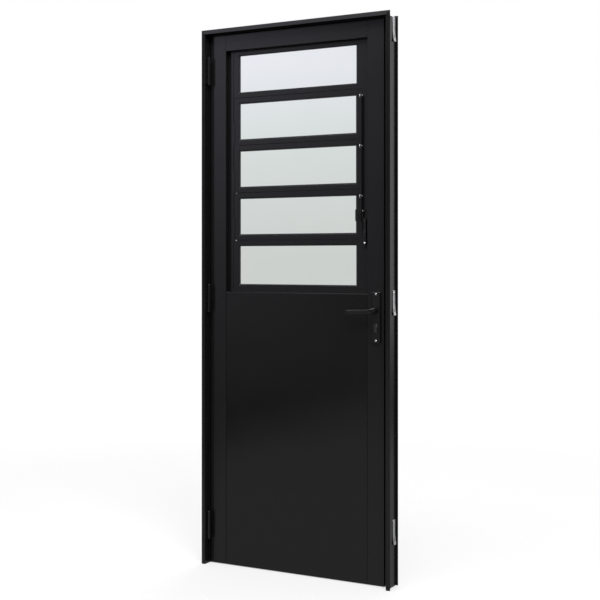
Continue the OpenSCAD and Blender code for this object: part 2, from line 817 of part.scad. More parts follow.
// Flat bar that joins the ears of the sashes and the lever
module vent_rod() {
    top = joint_zs[0];
    low = joint_zs[vent_count];
    color(coat_black) difference() {
        plate_x(rod_x0, rod_x0 + link_t) {
            translate([joint_y - rod_w / 2, low]) square([rod_w, top - low]);
            for (z = [low, top]) translate([joint_y, z]) circle(rod_w / 2);
        }
        for (z = joint_zs)
            bar_x(rod_x0 - overrun, rod_x0 + link_t + overrun, joint_y, z, joint_r + fit_clear);
    }
}

// Rivets with a head on each side of the joint
module rod_rivets() {
    color(zinc) for (k = [0 : vent_count]) {
        x0 = (k < vent_count) ? ear_x0 : rod_x0;
        x1 = (k < vent_count) ? rod_x0 + link_t : lever_x0 + link_t;
        bar_x(x0, x1, joint_y, joint_zs[k], joint_r);
        for (x = [x0 - rivet_head_h, x1]) bar_x(x, x + rivet_head_h, joint_y, joint_zs[k], rivet_head_r);
    }
}

grip_in = 5;

// Crank on the bracket's stud, parallel to the sashes' ears, with a grip tab folded across the front
module vent_lever() {
    z1 = lever_joint_z + link_end_r;
    grip_x0 = sash_x1 - grip_w - grip_in;
    color(coat_black) difference() {
        union() {
            plate_x(lever_x0, lever_x0 + link_t) {
                polygon([
                    [pivot_y - lever_eye_r, vent_lever_z], [pivot_y + lever_eye_r, vent_lever_z],
                    [joint_y + link_end_r, lever_joint_z], [joint_y + link_end_r, z1], [grip_y0, z1],
                    [grip_y0, lever_joint_z - link_end_r],
                    [joint_y - link_end_r / 2, lever_joint_z - link_end_r]
                ]);
                translate([pivot_y, vent_lever_z]) circle(lever_eye_r);
            }
            plate_y(grip_y0, grip_y0 + link_t) {
                translate([grip_x0, lever_joint_z - link_end_r])
                    square([lever_x0 + link_t - grip_x0, 2 * link_end_r]);
                rounded([grip_x0, z1 - grip_l], [grip_x0 + grip_w, z1], link_t);
            }
        }
        bar_x(lever_x0 - overrun, lever_x0 + link_t + overrun, joint_y, lever_joint_z, joint_r + fit_clear);
        bar_x(lever_x0 - overrun, lever_x0 + link_t + overrun, pivot_y, vent_lever_z, joint_r + fit_clear);
    }
}

// Folded channel on the liner, with a tongue into the pocket that carries the lever's stud
bracket_t = 2;
bracket_w = 11;
bracket_l = 104;
bracket_tongue_h = 12;
bracket_rivet_bite = 4;
bracket_y0 = joint_y;
bracket_drop_share = 0.62;
bracket_z0 = vent_lever_z - bracket_l * bracket_drop_share;
bracket_rivet_shares = [0.12, 0.5, 0.88];
bracket_rivet_zs = [for (share = bracket_rivet_shares) bracket_z0 + bracket_l * share];
bracket_rivet_x = bracket_x0 + bracket_w / 2;

module lever_bracket() {
    color(coat_black) difference() {
        union() {
            difference() {
                box([bracket_x0, bracket_y0, bracket_z0],
                    [bracket_x0 + bracket_w, liner_y0, bracket_z0 + bracket_l]);
                box([bracket_x0 + bracket_t, bracket_y0 + bracket_t, bracket_z0 - overrun],
                    [bracket_x0 + bracket_w - bracket_t, liner_y0 + overrun,
                        bracket_z0 + bracket_l + overrun]);
            }
            box([bracket_x0, bracket_y0, vent_lever_z - bracket_tongue_h / 2],
                [bracket_x0 + bracket_t, pivot_y + lever_eye_r, vent_lever_z + bracket_tongue_h / 2]);
            bar_x(lever_x0, bracket_x0 + bracket_t, pivot_y, vent_lever_z, joint_r);
            bar_x(lever_x0 - rivet_head_h, lever_x0, pivot_y, vent_lever_z, rivet_head_r);
        }
        bracket_rivet_bars(bracket_y0 - overrun, bracket_y0 + bracket_t + overrun, rivet_r + fit_clear);
    }
}

module bracket_rivet_bars(y0, y1, r) {
    for (z = bracket_rivet_zs) bar_y(y0, y1, bracket_rivet_x, z, r);
}

module bracket_rivets() {
    color(zinc) {
        bracket_rivet_bars(bracket_y0, liner_y0 + bracket_rivet_bite, rivet_r);
        bracket_rivet_bars(bracket_y0 - rivet_head_h, bracket_y0, rivet_head_r);
    }
}

// Lock

// Round barrel over a narrow tab, the outline of the key cylinder
module cylinder_shape(y0, y1, grow) {
    plate_y(y0, y1) {
        translate([spindle_x, cylinder_z]) circle(cylinder_r + grow);
        translate([spindle_x - cylinder_tab_w / 2 - grow, cylinder_z - cylinder_tab_h - grow])
            square([cylinder_tab_w + 2 * grow, cylinder_tab_h]);
    }
}

module plate_screw_bars(y0, y1, r) {
    for (z = [spindle_z + plate_rise - plate_screw_inset, spindle_z - plate_drop + plate_screw_inset])
        bar_y(y0, y1, spindle_x, z, r);
}

// Pressed case in the lock stile, with a long flange that bears inside the stile's edge
module bolt_openings(x0, x1) {
    for (p = [[latch_z, latch_h, latch_t], [bolt_z, bolt_h, bolt_t]])
        box([x0, -p[2] / 2 - slack, p[0] - p[1] / 2 - slack],
            [x1, p[2] / 2 + slack, p[0] + p[1] / 2 + slack]);
}

module lock_case() {
    flange_x = case_x1 - case_wall;
    color(zinc) difference() {
        union() {
            difference() {
                box([case_x0, -case_t / 2, case_z0], [case_x1, case_t / 2, case_z1]);
                box([case_x0 + case_wall, -case_t / 2 + case_wall, case_z0 + case_wall],
                    [case_x1 + overrun, case_t / 2 - case_wall, case_z1 - case_wall]);
            }
            box([flange_x, -forend_w / 2, forend_z0 - flange_end],
                [case_x1, forend_w / 2, forend_z1 + flange_end]);
        }
        bar_y(-case_t, case_t, spindle_x, spindle_z, neck_r + slack);
        cylinder_shape(-case_t, case_t, slack);
        plate_screw_bars(-case_t, case_t, plate_screw_r + slack);
        bolt_openings(flange_x - overrun, case_x1 + overrun);
        forend_screws(fit_clear);
    }
}

module lock_forend() {
    color(satin_steel) difference() {
        box([case_x1, -forend_w / 2, forend_z0], [leaf_x1, forend_w / 2, forend_z1]);
        bolt_openings(case_x1 - overrun, leaf_x1 + overrun);
        forend_screws(fit_clear);
    }
}

module lock_cylinder() {
    y1 = leaf_y1 + plate_t + link_t / 2;
    color(dark_nickel) difference() {
        cylinder_shape(-y1, y1, 0);
        bar_y(-y1 - overrun, y1 + overrun, spindle_x, cylinder_z, plug_r + fit_clear);
    }
}

// Turning part of the cylinder, slotted for the key at both ends
key_w = 2.2;
key_h = 8;
key_d = 12;

module cylinder_plug() {
    y1 = leaf_y1 + plate_t + link_t / 2;
    color(dark_nickel) difference() {
        bar_y(-y1, y1, spindle_x, cylinder_z, plug_r);
        for (s = [-1, 1]) translate([spindle_x, s * (y1 - key_d / 2 + overrun / 2), cylinder_z])
            cube([key_w, key_d + overrun, key_h], center = true);
    }
}

// Narrow handle plate with bevelled edges, on the room side
plate_bevel = 2;

module handle_plate() {
    x0 = spindle_x - plate_w / 2;
    x1 = spindle_x + plate_w / 2;
    z0 = spindle_z - plate_drop;
    z1 = spindle_z + plate_rise;
    y0 = leaf_y0 - plate_t;
    difference() {
        intersection() {
            plate_y(y0, leaf_y0) rounded([x0, z0], [x1, z1], plate_bevel);
            plate_x(x0, x1) polygon([
                [leaf_y0, z0], [y0 + plate_bevel, z0], [y0, z0 + plate_bevel], [y0, z1 - plate_bevel],
                [y0 + plate_bevel, z1], [leaf_y0, z1]
            ]);
            translate([0, 0, z0]) linear_extrude(z1 - z0) polygon([
                [x0, leaf_y0], [x0, y0 + plate_bevel], [x0 + plate_bevel, y0], [x1 - plate_bevel, y0],
                [x1, y0 + plate_bevel], [x1, leaf_y0]
            ]);
        }
        bar_y(y0 - overrun, leaf_y0 + overrun, spindle_x, spindle_z, neck_r + fit_clear);
        cylinder_shape(y0 - overrun, leaf_y0 + overrun, slack);
        plate_screw_bars(y0 - overrun, leaf_y0 + overrun, plate_screw_r + fit_clear);
    }
}

module inside_plate() { color(coat_black) handle_plate(); }
module outside_plate() { color(coat_black) mirror([0, 1, 0]) handle_plate(); }

// Through screws that clamp the two plates, domed on both faces
module plate_screws() {
    y1 = leaf_y1 + plate_t;
    color(zinc) {
        plate_screw_bars(-y1, y1, plate_screw_r);
        for (y = [-y1 - rivet_head_h, y1]) plate_screw_bars(y, y + rivet_head_h, plate_screw_head_r);
    }
}

// Lever: a round neck into a flat bar with rounded edges, which droops to its tip
lever_h = 20;
lever_droop = 1.5;
lever_round = 3;

module handle_lever(y_mid, y_face) {
    y0 = y_mid - lever_t / 2;
    y1 = y_mid + lever_t / 2;
    difference() {
        union() {
            bar_y(min(y_mid, y_face), max(y_mid, y_face), spindle_x, spindle_z, neck_r);
            translate([spindle_x, 0, spindle_z]) rotate([0, -lever_droop, 0]) intersection() {
                plate_x(-lever_l, neck_r) rounded([y0, -lever_h / 2], [y1, lever_h / 2], lever_round);
                translate([0, 0, -lever_h]) linear_extrude(2 * lever_h)
                    rounded([-lever_l, y0], [neck_r, y1], lever_round);
            }
        }
        spindle_bar(fit_clear);
    }
}

module inside_lever() { color(coat_black) handle_lever(leaf_y0 - lever_reach, leaf_y0 + overrun); }
module outside_lever() { color(coat_black) handle_lever(leaf_y1 + lever_reach, leaf_y1 - overrun); }

module spindle_bar(grow) {
    w = spindle_w + 2 * grow;
    l = leaf_t + 2 * (lever_reach - lever_t / 2) + 2 * grow;
    translate([spindle_x, 0, spindle_z]) cube([w, l, w], center = true);
}

module spindle() {
    color(satin_steel) spindle_bar(0);
}

// Hub in the lock case, bored square for the spindle
module lock_hub() {
    t = case_t / 2 - case_wall - slack;
    color(zinc) difference() {
        bar_y(-t, t, spindle_x, spindle_z, hub_r);
        spindle_bar(fit_clear);
    }
}

// Spring latch with a sloped nose, lying in the case and the forend
module latch_bolt() {
    x1 = leaf_x1 + latch_out;
    nose = latch_out + forend_t;
    color(satin_steel) translate([0, 0, latch_z - latch_h / 2]) linear_extrude(latch_h) polygon([
        [x1 - latch_l, -latch_t / 2], [x1 - nose, -latch_t / 2], [x1, latch_t / 2 - latch_out],
        [x1, latch_t / 2], [x1 - latch_l, latch_t / 2]
    ]);
}

// Square dead bolt, drawn back level with the forend
module dead_bolt() {
    color(satin_steel) box([leaf_x1 - bolt_l, -bolt_t / 2, bolt_z - bolt_h / 2],
        [leaf_x1, bolt_t / 2, bolt_z + bolt_h / 2]);
}

hinge_jamb();
lock_jamb();
head();
stop_gasket();
wall_anchors();
anchor_rivets();
strike_plate();
frame_screws();
upper_frame_hinge();
middle_frame_hinge();
lower_frame_hinge();
hinge_pins();
hinge_stile();
lock_stile();
top_rail();
mid_rail();
bottom_rail();
front_panel();
back_panel();
upper_leaf_hinge();
middle_leaf_hinge();
lower_leaf_hinge();
leaf_screws();
left_liner();
right_liner();
top_liner();
sill_liner();
top_light_frame();
top_light_glass();
top_light_bead();
bottom_light_frame();
bottom_light_glass();
bottom_light_bead();
upper_sash();
upper_sash_glass();
upper_sash_bead();
middle_sash();
middle_sash_glass();
middle_sash_bead();
lower_sash();
lower_sash_glass();
lower_sash_bead();
vent_rod();
rod_rivets();
vent_lever();
lever_bracket();
bracket_rivets();
lock_case();
lock_forend();
lock_cylinder();
inside_plate();
outside_plate();
plate_screws();
inside_lever();
outside_lever();
spindle();
lock_hub();
latch_bolt();
dead_bolt();
cylinder_plug();
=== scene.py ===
import math

import bmesh
import bpy
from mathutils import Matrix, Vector


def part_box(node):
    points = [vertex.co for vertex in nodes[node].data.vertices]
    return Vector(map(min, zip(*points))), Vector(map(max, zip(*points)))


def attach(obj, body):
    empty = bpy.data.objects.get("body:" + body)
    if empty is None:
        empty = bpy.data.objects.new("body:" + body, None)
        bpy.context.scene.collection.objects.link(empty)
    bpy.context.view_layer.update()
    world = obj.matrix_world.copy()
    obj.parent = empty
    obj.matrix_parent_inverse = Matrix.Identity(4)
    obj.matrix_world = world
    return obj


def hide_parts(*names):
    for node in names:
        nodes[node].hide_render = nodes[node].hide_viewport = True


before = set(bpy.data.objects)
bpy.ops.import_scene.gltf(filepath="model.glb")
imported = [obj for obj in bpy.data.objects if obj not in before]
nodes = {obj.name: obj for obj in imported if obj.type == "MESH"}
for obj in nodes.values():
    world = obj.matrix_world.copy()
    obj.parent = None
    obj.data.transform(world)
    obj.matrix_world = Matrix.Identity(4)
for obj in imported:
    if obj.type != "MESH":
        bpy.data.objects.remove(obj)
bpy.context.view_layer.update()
scene = bpy.context.scene


# Studio: a white sweep of paper under the door, a darker room beyond its edges and a bright ceiling.
# A black coat is seen by what it mirrors, so glossy rays meet a dim room with a cool window at the left.
class Wire:
    """One output socket of a shader tree. Arithmetic on it adds Math nodes to the tree."""

    def __init__(self, tree, socket=None):
        self.tree = tree
        self.socket = socket

    def node(self, kind, settings=None, sockets=None, out=0):
        """Adds a node of that kind, with its settings and inputs, and gives the output that out names."""
        made = self.tree.nodes.new(kind)
        for key, value in (settings or {}).items():
            if key == "stops":
                elements = made.color_ramp.elements
                while len(elements) < len(value):
                    elements.new(1.0)
                for element, (place, shade) in zip(elements, value):
                    element.position = place
                    element.color = (*shade, 1.0) if isinstance(shade, tuple) else grey(shade)
            else:
                setattr(made, key, value)
        for key, value in (sockets or {}).items():
            if isinstance(value, Wire):
                self.tree.links.new(value.socket, made.inputs[key])
            else:
                made.inputs[key].default_value = value
        return Wire(self.tree, made.outputs[out]) if len(made.outputs) else None

    def math(self, operation, first, second=0.0):
        return self.node("ShaderNodeMath", {"operation": operation}, {0: first, 1: second})

    def __add__(self, other):
        return self.math("ADD", self, other)

    def __sub__(self, other):
        return self.math("SUBTRACT", self, other)

    def __rsub__(self, other):
        return self.math("SUBTRACT", other, self)

    def __mul__(self, other):
        return self.math("MULTIPLY", self, other)

    __radd__ = __add__
    __rmul__ = __mul__

    def ramp(self, *stops):
        """A colour ramp over this value: each stop pairs a place with a grey or a colour."""
        return self.node("ShaderNodeValToRGB", {"stops": stops}, {0: self})

    def mix(self, first, second):
        """The first colour where this value is 0, the second where it is 1."""
        return self.node("ShaderNodeMix", {"data_type": "RGBA"}, {0: self, 6: first, 7: second}, out=2)


def grey(value):
    return (value, value, value, 1.0)


def noise(wire, scale, detail=2.0, stretch=(1, 1, 1)):
    """Noise in the object's own metres, scale bumps to the metre."""
    place = wire.node("ShaderNodeTexCoord", out="Object")
    if stretch != (1, 1, 1):
        place = wire.node("ShaderNodeVectorMath", {"operation": "MULTIPLY"}, {0: place, 1: stretch})
    return wire.node("ShaderNodeTexNoise", {}, {"Vector": place, "Scale": scale, "Detail": detail})


light_path = "ShaderNodeLightPath"
pale_green = (0.665, 0.685, 0.67)
cool_daylight = (1.15, 1.12, 1.36, 1)
world = bpy.data.worlds.new("studio")
scene.world = world
world.use_nodes = True
world.node_tree.nodes.clear()
sky = Wire(world.node_tree)
direction = sky.node("ShaderNodeTexCoord", out="Generated")
east, north, up = [sky.node("ShaderNodeSeparateXYZ", {}, {0: direction}, out=k) for k in range(3)]
west = east * -1.0
ceiling = up.ramp((0.3, 0.0), (0.8, 1.1))
behind = north.ramp((0.0, 0.0), (0.5, 1.0))
wall_rise = up.ramp((0.0, 0.17), (0.16, 0.23), (0.5, 0.24))
walls = wall_rise * west.ramp(
    (0.0, 0.06), (0.3, 0.3), (0.40, 0.62), (0.48, 1.0), (0.60, 1.0), (0.70, 0.15), (0.80, 0.15), (0.92, 1.1))
back_wall = (east * 0.5 + 0.5).ramp((0.1, 0.2), (0.5, 0.42), (0.72, 0.78), (0.95, 0.35))
window = west.ramp((0.42, 0.0), (0.54, 1.0), (0.60, 1.0), (0.70, 0.0)) * up.ramp((0.0, 0.12), (0.17, 1.0))
room = (walls + behind * (back_wall - walls) + ceiling).mix(grey(0.0), grey(1.0))
lit_room = window.mix(room, cool_daylight)
through = up.ramp((0.0, pale_green), (0.1, (0.74, 0.775, 0.765)), (0.165, (0.87, 0.875, 0.93)))
seen = sky.node(light_path, out="Is Camera Ray")
passed = sky.node(light_path, out="Is Transmission Ray")
backdrop = seen.mix(passed.mix(lit_room, through), grey(1.0))
sky.node("ShaderNodeOutputWorld", {}, {"Surface": sky.node("ShaderNodeBackground", {}, {"Color": backdrop})})


# Floor: white paper, matt near the door, where it takes a faint shadow, and as white as the backdrop farther off.
# Mirrors and the panes see a painted glow instead of the lit floor: brighter on the paper near the door and darker
# beyond, so the coat mirrors it darker, and pale green through the panes.
floor_half = 14.0
floor_corners = [(sx * floor_half, sy * floor_half, 0) for sx, sy in ((-1, -1), (1, -1), (1, 1), (-1, 1))]
floor_mesh = bpy.data.meshes.new("floor")
floor_mesh.from_pydata(floor_corners, [], [(0, 1, 2, 3)])
floor = bpy.data.objects.new("floor", floor_mesh)
scene.collection.objects.link(floor)
floor_paint = bpy.data.materials.new("floor_paint")
floor_paint.use_nodes = True
floor_paint.node_tree.nodes.clear()
ground = Wire(floor_paint.node_tree)
straight = ground.node(light_path, out="Is Camera Ray")
panes = ground.node(light_path, out="Is Transmission Ray")
mirrored = ground.node(light_path, out="Is Glossy Ray")
spot = ground.node("ShaderNodeTexCoord", out="Object")
across = ground.node("ShaderNodeSeparateXYZ", {}, {0: spot})
away = ground.node("ShaderNodeVectorMath", {"operation": "LENGTH"}, {0: spot}, out="Value")
# Painted glow of the floor as mirrors see it, standing in for its lit brightness: bright on the paper near the door,
# dark beyond it, a little brighter again far off.
mirrored_paper_glow = (ground.math("ABSOLUTE", across) * 0.2 + noise(ground, 0.8, 3.0) * 0.16).ramp(
    (0.42, 0.35), (0.52, 0.06), (0.72, 0.07), (0.90, 0.20))
matt = ground.node("ShaderNodeBsdfDiffuse", {}, {"Color": straight.mix(grey(0.32), grey(0.56))})
glow_for_mirrors_and_panes = panes.mix(mirrored_paper_glow, (*pale_green, 1))
bright = ground.node("ShaderNodeEmission", {}, {"Color": straight.mix(glow_for_mirrors_and_panes, grey(1.0))})
glow = straight * (away * 0.2).ramp((0.3, 0.62), (0.7, 1.0))
shown = ground.math("MAXIMUM", glow, ground.math("MAXIMUM", mirrored, panes))
ground.node("ShaderNodeOutputMaterial", {}, {
    "Surface": ground.node("ShaderNodeMixShader", {}, {0: shown, 1: matt, 2: bright})})
floor_mesh.materials.append(floor_paint)


# Lamps and camera: softboxes in front at the right, overhead and behind.
# The camera stands 1.2 m high, about 29 degrees to the right of square, and its lens is shifted to frame the door.
def lamp(name, place, aim, size, watts):
    data = bpy.data.lights.new(name, "AREA")
    data.shape = "RECTANGLE"
    data.size, data.size_y = size
    data.energy = watts
    held = bpy.data.objects.new(name, data)
    held.location = place
    held.rotation_euler = (Vector(aim) - Vector(place)).to_track_quat("-Z", "Y").to_euler()
    scene.collection.objects.link(held)


lamp("key_softbox", (3.0, -3.0, 5.0), (0, 0, 1.1), (1.8, 1.8), 210)
lamp("overhead_softbox", (0.2, -1.5, 4.2), (0, 0, 1.0), (2.4, 1.4), 120)
lamp("back_softbox", (-0.6, 2.8, 4.2), (0, 0, 1.1), (2.0, 2.0), 110)

camera_data = bpy.data.cameras.new("camera")
camera_data.sensor_width = 36.0
camera_data.lens = 70.78
camera_data.shift_x = 0.0153
camera_data.shift_y = -0.0652
camera = bpy.data.objects.new("camera", camera_data)
camera.location = (2.1455, -3.959, 1.193)
camera.rotation_euler = (math.radians(90), 0, math.radians(28.83))
scene.collection.objects.link(camera)
scene.camera = camera


# Jambs and head: aluminium extrusions, mitred at the corners and powder coated satin black.
# The coat has a fine orange peel and slightly uneven gloss.
def start(name):
    """An empty material and a wire to build it with."""
    material = bpy.data.materials.new(name)
    material.use_nodes = True
    material.node_tree.nodes.clear()
    return material, Wire(material.node_tree)


def close(wire, inputs):
    """Ends a material in one shader with these inputs."""
    shader = wire.node("ShaderNodeBsdfPrincipled", {}, inputs)
    wire.node("ShaderNodeOutputMaterial", {}, {"Surface": shader})


def tone(tint, share):
    """The tint made darker or lighter, as a colour."""
    return tuple(c * share for c in tint) + (1.0,)


def dress(material, *names):
    """Gives the named CAD nodes the material."""
    for name in names:
        for held in nodes[name].material_slots:
            held.material = material


def powder_coat(name, tint, rough, peel=0.03, edge=0.0008):
    material, wire = start(name)
    cloud = noise(wire, 5.0, 3.0)
    speck = noise(wire, 900.0)
    film = noise(wire, 45.0, 4.0)
    rounded = wire.node("ShaderNodeBevel", {"samples": 4}, {"Radius": edge})
    orange_peel = wire.node("ShaderNodeBump", {}, {
        "Strength": peel, "Distance": 0.0002, "Height": speck * 0.4 + noise(wire, 320.0) * 0.6, "Normal": rounded})
    close(wire, {
        "Base Color": (cloud * 0.6 + speck * 0.4).mix(tone(tint, 0.86), tone(tint, 1.16)),
        "Roughness": rough + (cloud - 0.5) * 0.08 + (film - 0.5) * 0.05, "Normal": orange_peel})
    return material


black_coat = powder_coat("black_powder_coat", (0.0046, 0.0046, 0.0050), 0.25)
dress(black_coat, "hinge_jamb", "lock_jamb", "head")


# Stop gasket: a soft extruded rubber strip pressed on the face of the stop, all round the leaf.
# Matte, nearly black, with a faint bloom.
def rubber(name, tint, rough):
    material, wire = start(name)
    bloom = noise(wire, 60.0, 4.0)
    skin = wire.node("ShaderNodeBump", {}, {"Strength": 0.15, "Distance": 0.0001, "Height": noise(wire, 1500.0)})
    close(wire, {"Base Color": bloom.mix(tone(tint, 0.8), tone(tint, 1.3)),
                 "Roughness": rough + (bloom - 0.5) * 0.1, "Normal": skin})
    return material


seal_rubber = rubber("seal_rubber", (0.010, 0.010, 0.011), 0.7)
dress(seal_rubber, "stop_gasket")


# Wall straps: galvanised strips of sheet in the wall channel of the jambs, each held by two blind rivets.
# The tail springs out towards the wall and has a slot for a screw.
# Each rivet has a low dome with the open end of its snapped mandrel.
def plated(name, tint, rough, streak=(1, 1, 1), grain=260.0):
    material, wire = start(name)
    spangle = noise(wire, 120.0, 3.0)
    rolled = noise(wire, grain, 2.0, streak)
    marks = wire.node("ShaderNodeBump", {}, {"Strength": 0.12, "Distance": 0.0001, "Height": rolled})
    close(wire, {"Base Color": (spangle * 0.5 + rolled * 0.5).mix(tone(tint, 0.82), tone(tint, 1.0)), "Metallic": 1.0,
                 "Roughness": rough + (spangle - 0.5) * 0.2, "Normal": marks})
    return material


def solids(name):
    """Lowest and highest corner of each separate solid of a CAD node."""
    shape = bmesh.new()
    shape.from_mesh(nodes[name].data)
    bmesh.ops.remove_doubles(shape, verts=shape.verts, dist=1e-6)
    reached = set()
    boxes = []
    for seed in shape.verts:
        if seed in reached:
            continue
        reached.add(seed)
        front = [seed]
        island = []
        while front:
            vert = front.pop()
            island.append(vert.co.copy())
            near = {edge.other_vert(vert) for edge in vert.link_edges} - reached
            reached |= near
            front.extend(near)
        boxes.append([Vector([pick(co[k] for co in island) for k in range(3)]) for pick in (min, max)])
    shape.free()
    return boxes


def quarter(count):
    """Angles over a quarter circle, in count steps."""
    return [math.pi / 2 * k / count for k in range(count + 1)]


def loft(shape, rings):
    """A closed skin over rings of the same number of points."""
    for first, second in zip(rings, rings[1:]):
        for k in range(len(first)):
            j = (k + 1) % len(first)
            shape.faces.new((first[k], first[j], second[j], second[k]))
    shape.faces.new(rings[0])
    shape.faces.new(rings[-1])


def turn(shape, profile, place, axis, steps=32, ring=False):
    """A turned piece: profile pairs a radius with a distance along axis from place."""
    spin = axis.to_track_quat("Z", "Y").to_matrix()
    rings = []
    for radius, along in profile:
        count = steps if radius > 0 else 1
        angles = [math.tau * k / count for k in range(count)]
        rings.append([shape.verts.new(place + spin @ Vector((radius * math.cos(a), radius * math.sin(a), along)))
                      for a in angles])
    for first, second in zip(rings, rings[1:] + rings[:1] if ring else rings[1:]):
        for k in range(steps):
            corners = [side[j % len(side)] for side, j in ((first, k), (first, k + 1), (second, k + 1), (second, k))]
            shape.faces.new(dict.fromkeys(corners))


def prism(shape, outline, place, axis, depth, shrink=1.0):
    """A tapering cutter that sinks from just above place against axis."""
    above = 0.0005
    spin = axis.to_track_quat("Z", "Y").to_matrix()
    loft(shape, [[shape.verts.new(place + spin @ Vector((x * scale, y * scale, along))) for x, y in outline]
                 for scale, along in ((1.0, above), (shrink, -depth))])


def piece(shape, name, material, body, replaced=(), cutter=None):
    """Links the built shape as a piece of that body, carved by cutter if there is one."""
    sharp_angle = math.radians(32)

    def linked(bm, called):
        bmesh.ops.recalc_face_normals(bm, faces=bm.faces)
        mesh = bpy.data.meshes.new(called)
        bm.to_mesh(mesh)
        bm.free()
        made = bpy.data.objects.new(called, mesh)
        scene.collection.objects.link(made)
        return made

    held = linked(shape, name)
    if cutter:
        tool = linked(cutter, name + "_cutter")
        carve = held.modifiers.new("carve", "BOOLEAN")
        carve.object = tool
        carved = bpy.data.meshes.new_from_object(held.evaluated_get(bpy.context.evaluated_depsgraph_get()))
        held.modifiers.clear()
        held.data = carved
        bpy.data.objects.remove(tool)
    held.data.materials.clear()
    held.data.materials.append(material)
    held.data.shade_smooth()
    held.data.set_sharp_from_angle(angle=sharp_angle)
    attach(held, body)
    if replaced:
        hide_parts(*replaced)


def wall_strap(shape, cutter, low, high, side):
    """A strip of sheet, flat under its rivets, with a sprung tail that has a slot for the wall screw."""
    half, corner, sheet = 0.0095, 0.003, 0.0015
    fold_rise, tail_steps = 0.002, 12
    slot_r, slot_reach, slot_share, slot_depth, slot_steps = 0.0026, 0.004, 0.62, 0.006, 16
    web = low.x if side > 0 else high.x
    centre = (low.y + high.y) / 2
    fold = (low.z + high.z) / 2 + fold_rise
    spring = high.x - low.x - sheet
    rounding = [(corner * (1 - math.sin(a)), corner * (1 - math.cos(a))) for a in quarter(4)]
    stations = [(high.z - drop, half - pinch) for drop, pinch in reversed(rounding)]
    stations += [(fold + (low.z + corner - fold) * k / tail_steps, half) for k in range(tail_steps)]
    stations += [(low.z + drop, half - pinch) for drop, pinch in rounding]
    rings = []
    for z, wide in stations:
        inner = spring * max(0.0, (fold - z) / (fold - low.z)) ** 2
        rings.append([shape.verts.new((web + side * (inner + x), centre + y, z))
                      for x, y in ((0, -wide), (0, wide), (sheet, wide), (sheet, -wide))])
    loft(shape, rings)
    slot = [(slot_r * math.cos(a), slot_r * math.sin(a) + math.copysign(slot_reach, math.sin(a)))
            for a in (math.tau * (k + 0.5) / slot_steps for k in range(slot_steps))]
    slot_place = Vector((web + side * (spring + sheet), centre, fold + (low.z - fold) * slot_share))
    prism(cutter, slot, slot_place, Vector((side, 0, 0)), slot_depth)


def dome(radius, height):
    """Profile of a low dome from beside its top down to its rim."""
    return [(radius * math.sin(a), height * math.cos(a)) for a in quarter(6)[1:]]


rivet_head_r, rivet_head_h = 0.004, 0.0015


def blind_rivet(shape, face, axis, length):
    """A rivet whose head sits on face and looks along axis."""
    shank_r, bore_r, bore_floor = 0.0024, 0.0011, 0.0003
    mandrel = [(0, bore_floor), (bore_r, bore_floor), (bore_r, 0.0013), (0.0013, 0.00145)]
    shank = [(shank_r, 0), (shank_r, -length), (0, -length)]
    turn(shape, mandrel + dome(rivet_head_r, rivet_head_h)[1:] + shank, face, axis)


zinc = plated("bright_zinc", (0.86, 0.87, 0.89), 0.34, (1, 1, 0.08))
straps, slots = bmesh.new(), bmesh.new()
for low, high in solids("wall_anchors"):
    wall_strap(straps, slots, low, high, math.copysign(1, low.x))
piece(straps, "sprung_wall_straps", zinc, "frame", ["wall_anchors"], slots)
rivets = bmesh.new()
for low, high in solids("anchor_rivets"):
    middle = (low + high) / 2
    side = math.copysign(1, middle.x)
    head = max(abs(low.x), abs(high.x)) - rivet_head_h
    blind_rivet(rivets, Vector((side * head, middle.y, middle.z)), Vector((side, 0, 0)), high.x - low.x - rivet_head_h)
piece(rivets, "anchor_blind_rivets", zinc, "frame", ["anchor_rivets"])


# Strike plate and screws: countersunk steel screws with a cross recess, threaded in the tube walls.
# Those at the lock side are satin nickel like the strike, and those of the hinges are coated with them.
# They show when the leaf stands open.
def cross(arm, half=0.00045):
    """Outline of a cross recess."""
    corner = [(arm, -half), (arm, half), (half, half)]
    return [(x * math.cos(a) - y * math.sin(a), x * math.sin(a) + y * math.cos(a))
            for a in (0, math.pi / 2, math.pi, 3 * math.pi / 2) for x, y in corner]


def countersunk(shape, cutter, face, axis, length):
    """A countersunk screw whose head is flush with face and looks along axis."""
    crest, root, pitch, point, end_room = 0.0022, 0.0018, 0.0008, 0.0015, 0.0022
    recess_arm, recess_depth, recess_taper = 0.0022, 0.0014, 0.55
    profile = [(0, 0), (0.0038, 0), (0.004, -0.0002), (crest, -0.0018)]
    along = 3 * pitch
    while along + end_room < length:
        profile += [(crest, -along), (root, -along - pitch / 2)]
        along += pitch
    turn(shape, profile + [(root, -length + point), (0, -length)], face, axis, 24)
    prism(cutter, cross(recess_arm), face, axis, recess_depth, recess_taper)


satin_steel = plated("satin_nickel", (0.62, 0.61, 0.58), 0.30, (1, 1, 0.05), 900.0)
dress(satin_steel, "strike_plate")
for node, body, outward in (("frame_screws", "frame", -1), ("leaf_screws", "leaf", 1)):
    for name, side, finish, slot, replaced in (("lock_", 1, satin_steel, "satin_steel", [node]),
                                               ("hinge_", -1, black_coat, "black_coat", [])):
        screws, recesses = bmesh.new(), bmesh.new()
        for low, high in solids(node):
            middle = (low + high) / 2
            looks = outward * side
            head = high.x if looks > 0 else low.x
            if middle.x * side > 0:
                countersunk(screws, recesses, Vector((head, middle.y, middle.z)), Vector((looks, 0, 0)), high.x - low.x)
        piece(screws, name + node, finish, body, replaced, recesses)


